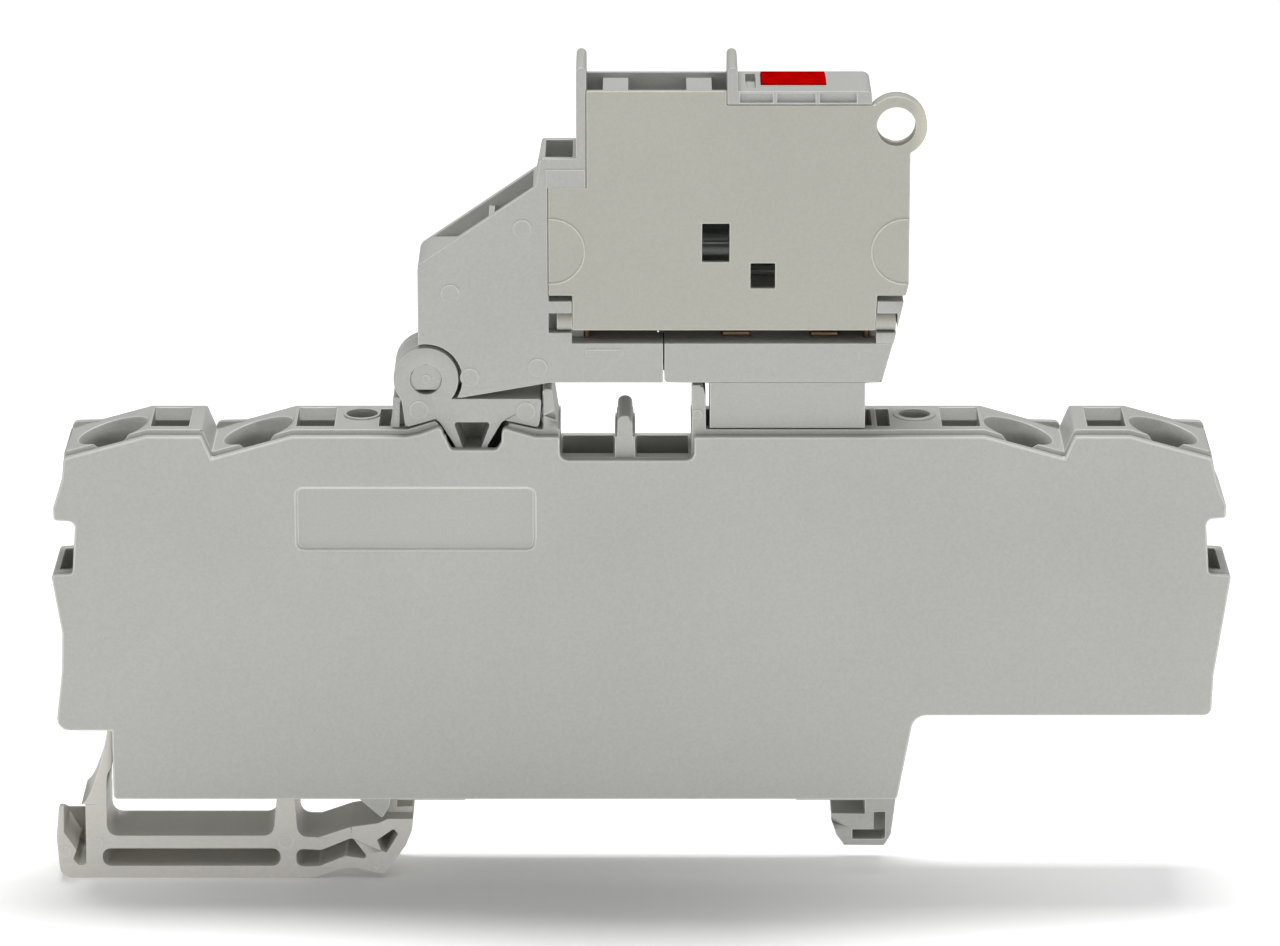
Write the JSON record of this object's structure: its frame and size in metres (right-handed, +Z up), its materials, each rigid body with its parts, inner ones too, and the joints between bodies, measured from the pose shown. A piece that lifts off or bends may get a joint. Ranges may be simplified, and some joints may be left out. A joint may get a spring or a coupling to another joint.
{
  "type": "fuse terminal block",
  "caption": "Flat rail-mounted terminal block with spring clamps and a hinged, plug-in cartridge fuse holder with cover, pull ring and red lamp",
  "frame": {"origin": "on the rail's top face, at the middle of the rail's width and of the block's thickness", "axes": "+X along the block to the end with the fuse holder's plug, +Y through the thickness away from the flat end plate, +Z up"},
  "size_m": [0.0878, 0.007, 0.0628],
  "materials": {
    "grey_polyamide": "fine satin moulding",
    "cover_polyamide": "fine satin moulding",
    "tinned_copper": "satin",
    "spring_steel": "satin",
    "nickel_cap": "polished",
    "fuse_glass": "clear",
    "fuse_wire": "satin",
    "red_lens": "polished",
    "lamp_body": "satin",
    "circuit_board": "satin",
    "resistor_body": "satin"
  },
  "bodies": {
    "terminal": {"terminal_housing": "grey_polyamide", "end_plate": "grey_polyamide", "hinge_base": "grey_polyamide", "hinge_pin": "grey_polyamide", "left_current_bar": "tinned_copper", "right_current_bar": "tinned_copper", "left_socket_contact": "tinned_copper", "right_socket_contact": "tinned_copper", "left_outer_clamp_spring": "spring_steel", "left_inner_clamp_spring": "spring_steel", "right_inner_clamp_spring": "spring_steel", "right_outer_clamp_spring": "spring_steel"},
    "fuse_holder": {"holder_body": "grey_polyamide", "plug_shroud": "grey_polyamide", "left_fuse_clip": "tinned_copper", "right_fuse_clip": "tinned_copper", "fuse_glass": "fuse_glass", "left_fuse_cap": "nickel_cap", "right_fuse_cap": "nickel_cap", "fuse_wire": "fuse_wire", "lamp_lens": "red_lens", "lamp_led": "lamp_body", "lamp_board": "circuit_board", "lamp_resistor": "resistor_body", "lamp_leads": "tinned_copper"},
    "cover": {"fuse_cover": "cover_polyamide"},
    "foot": {"release_foot": "grey_polyamide", "foot_strap": "grey_polyamide"}
  },
  "joints": [
    {"name": "holder_swing", "type": "hinge", "parent": "terminal", "child": "fuse_holder", "pos_m": [-0.01505, 0, 0.033], "axis": [0, -1, 0], "range_deg": [0, 95]},
    {"name": "cover_flap", "type": "hinge", "parent": "fuse_holder", "child": "cover", "pos_m": [0.007, -0.00195, 0.0373], "axis": [1, 0, 0], "range_deg": [0, 95]},
    {"name": "foot_release", "type": "slide", "parent": "terminal", "child": "foot", "axis": [-1, 0, 0], "range_m": [0, 0.0012], "stiffness_N_per_m": 3000, "springref_m": -0.0002, "deforming": ["foot_strap"]}
  ]
}
